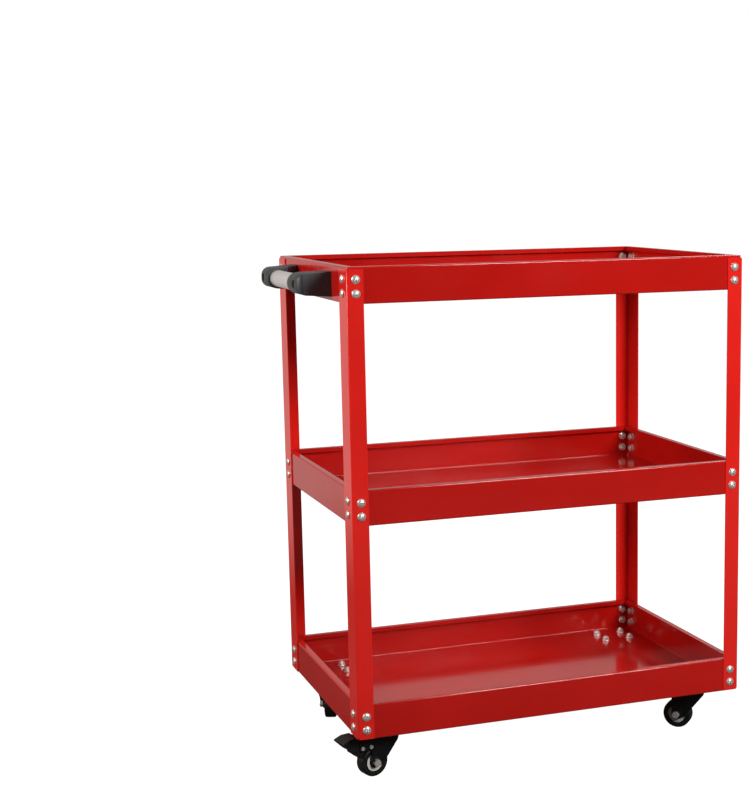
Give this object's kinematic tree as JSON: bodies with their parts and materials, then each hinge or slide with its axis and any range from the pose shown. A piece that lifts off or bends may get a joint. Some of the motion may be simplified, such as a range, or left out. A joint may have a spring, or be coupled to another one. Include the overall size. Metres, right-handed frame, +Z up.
{
  "type": "tool cart",
  "caption": "Tiered steel tool cart: open folded trays bolted to angle posts, a push bar on plastic brackets at one end, and plate-mounted swivel casters, braked under the handle.",
  "frame": {"origin": "on the floor, under the middle of the overall length and width", "axes": "+Z up, +X along the trays away from the handle, +Y across the cart"},
  "size_m": [0.6736, 0.4072, 0.7535],
  "materials": {
    "red_paint": "gloss powder coat with slight orange peel",
    "zinc": "bright zinc plated",
    "satin_aluminium": "satin anodised",
    "bracket_plastic": "fine-grained matte moulded plastic",
    "black_screws": "black oxide",
    "caster_black": "satin black coating on pressed steel",
    "pedal_black": "satin black moulded nylon",
    "tyre_rubber": "smooth dark rubber",
    "wheel_grey": "light grey moulded plastic",
    "hub_plastic": "black moulded plastic",
    "bare_steel": "bare steel"
  },
  "bodies": {
    "root": {"bottom_tray": "red_paint", "bottom_tray_bolts": "zinc", "bottom_tray_nuts": "zinc", "caster_front_left_kingpin": "bare_steel", "caster_front_left_plate": "caster_black", "caster_front_right_kingpin": "bare_steel", "caster_front_right_plate": "caster_black", "caster_plate_bolts": "zinc", "caster_plate_nuts": "zinc", "caster_rear_left_kingpin": "bare_steel", "caster_rear_left_plate": "caster_black", "caster_rear_right_kingpin": "bare_steel", "caster_rear_right_plate": "caster_black", "handle_bolts": "black_screws", "handle_bracket_front": "bracket_plastic", "handle_bracket_rear": "bracket_plastic", "handle_nuts": "zinc", "handle_tube": "satin_aluminium", "middle_tray": "red_paint", "middle_tray_bolts": "zinc", "middle_tray_nuts": "zinc", "post_front_left": "red_paint", "post_front_right": "red_paint", "post_rear_left": "red_paint", "post_rear_right": "red_paint", "top_tray": "red_paint", "top_tray_bolts": "zinc", "top_tray_nuts": "zinc"},
    "swivel_front_left": {"caster_front_left_axle": "zinc", "caster_front_left_balls": "bare_steel", "caster_front_left_brake_pins": "bare_steel", "caster_front_left_brake_spring": "bare_steel", "caster_front_left_fork": "caster_black"},
    "pedal_front_left": {"caster_front_left_brake_pedal": "pedal_black"},
    "wheel_front_left": {"caster_front_left_hub": "hub_plastic", "caster_front_left_tyre": "tyre_rubber", "caster_front_left_wheel_rim": "wheel_grey"},
    "swivel_front_right": {"caster_front_right_axle": "zinc", "caster_front_right_balls": "bare_steel", "caster_front_right_fork": "caster_black"},
    "wheel_front_right": {"caster_front_right_hub": "hub_plastic", "caster_front_right_tyre": "tyre_rubber", "caster_front_right_wheel_rim": "wheel_grey"},
    "swivel_rear_left": {"caster_rear_left_axle": "zinc", "caster_rear_left_balls": "bare_steel", "caster_rear_left_brake_pins": "bare_steel", "caster_rear_left_brake_spring": "bare_steel", "caster_rear_left_fork": "caster_black"},
    "pedal_rear_left": {"caster_rear_left_brake_pedal": "pedal_black"},
    "wheel_rear_left": {"caster_rear_left_hub": "hub_plastic", "caster_rear_left_tyre": "tyre_rubber", "caster_rear_left_wheel_rim": "wheel_grey"},
    "swivel_rear_right": {"caster_rear_right_axle": "zinc", "caster_rear_right_balls": "bare_steel", "caster_rear_right_fork": "caster_black"},
    "wheel_rear_right": {"caster_rear_right_hub": "hub_plastic", "caster_rear_right_tyre": "tyre_rubber", "caster_rear_right_wheel_rim": "wheel_grey"}
  },
  "joints": [
    {"name": "front_left_swivel", "type": "hinge", "parent": "root", "child": "swivel_front_left", "pos_m": [-0.2328, -0.148, 0.065], "axis": [0, 0, 1], "continuous": true},
    {"name": "front_left_roll", "type": "hinge", "parent": "swivel_front_left", "child": "wheel_front_left", "pos_m": [-0.25347, -0.15393, 0.0225], "axis": [-0.2756, 0.9613, 0], "continuous": true},
    {"name": "front_left_brake", "type": "hinge", "parent": "swivel_front_left", "child": "pedal_front_left", "pos_m": [-0.27606, -0.1604, 0.0491], "axis": [0.2756, -0.9613, 0], "range_deg": [0, 9]},
    {"name": "front_right_swivel", "type": "hinge", "parent": "root", "child": "swivel_front_right", "pos_m": [0.2792, -0.148, 0.065], "axis": [0, 0, 1], "continuous": true},
    {"name": "front_right_roll", "type": "hinge", "parent": "swivel_front_right", "child": "wheel_front_right", "pos_m": [0.26348, -0.13334, 0.0225], "axis": [0.682, 0.7314, 0], "continuous": true},
    {"name": "rear_left_swivel", "type": "hinge", "parent": "root", "child": "swivel_rear_left", "pos_m": [-0.2328, 0.148, 0.065], "axis": [0, 0, 1], "continuous": true},
    {"name": "rear_left_roll", "type": "hinge", "parent": "swivel_rear_left", "child": "wheel_rear_left", "pos_m": [-0.2405, 0.12793, 0.0225], "axis": [-0.9336, 0.3584, 0], "continuous": true},
    {"name": "rear_left_brake", "type": "hinge", "parent": "swivel_rear_left", "child": "pedal_rear_left", "pos_m": [-0.24893, 0.10599, 0.0491], "axis": [0.9336, -0.3584, 0], "range_deg": [0, 9]},
    {"name": "rear_right_swivel", "type": "hinge", "parent": "root", "child": "swivel_rear_right", "pos_m": [0.2792, 0.148, 0.065], "axis": [0, 0, 1], "continuous": true},
    {"name": "rear_right_roll", "type": "hinge", "parent": "swivel_rear_right", "child": "wheel_rear_right", "pos_m": [0.25875, 0.14136, 0.0225], "axis": [-0.309, 0.9511, 0], "continuous": true}
  ]
}
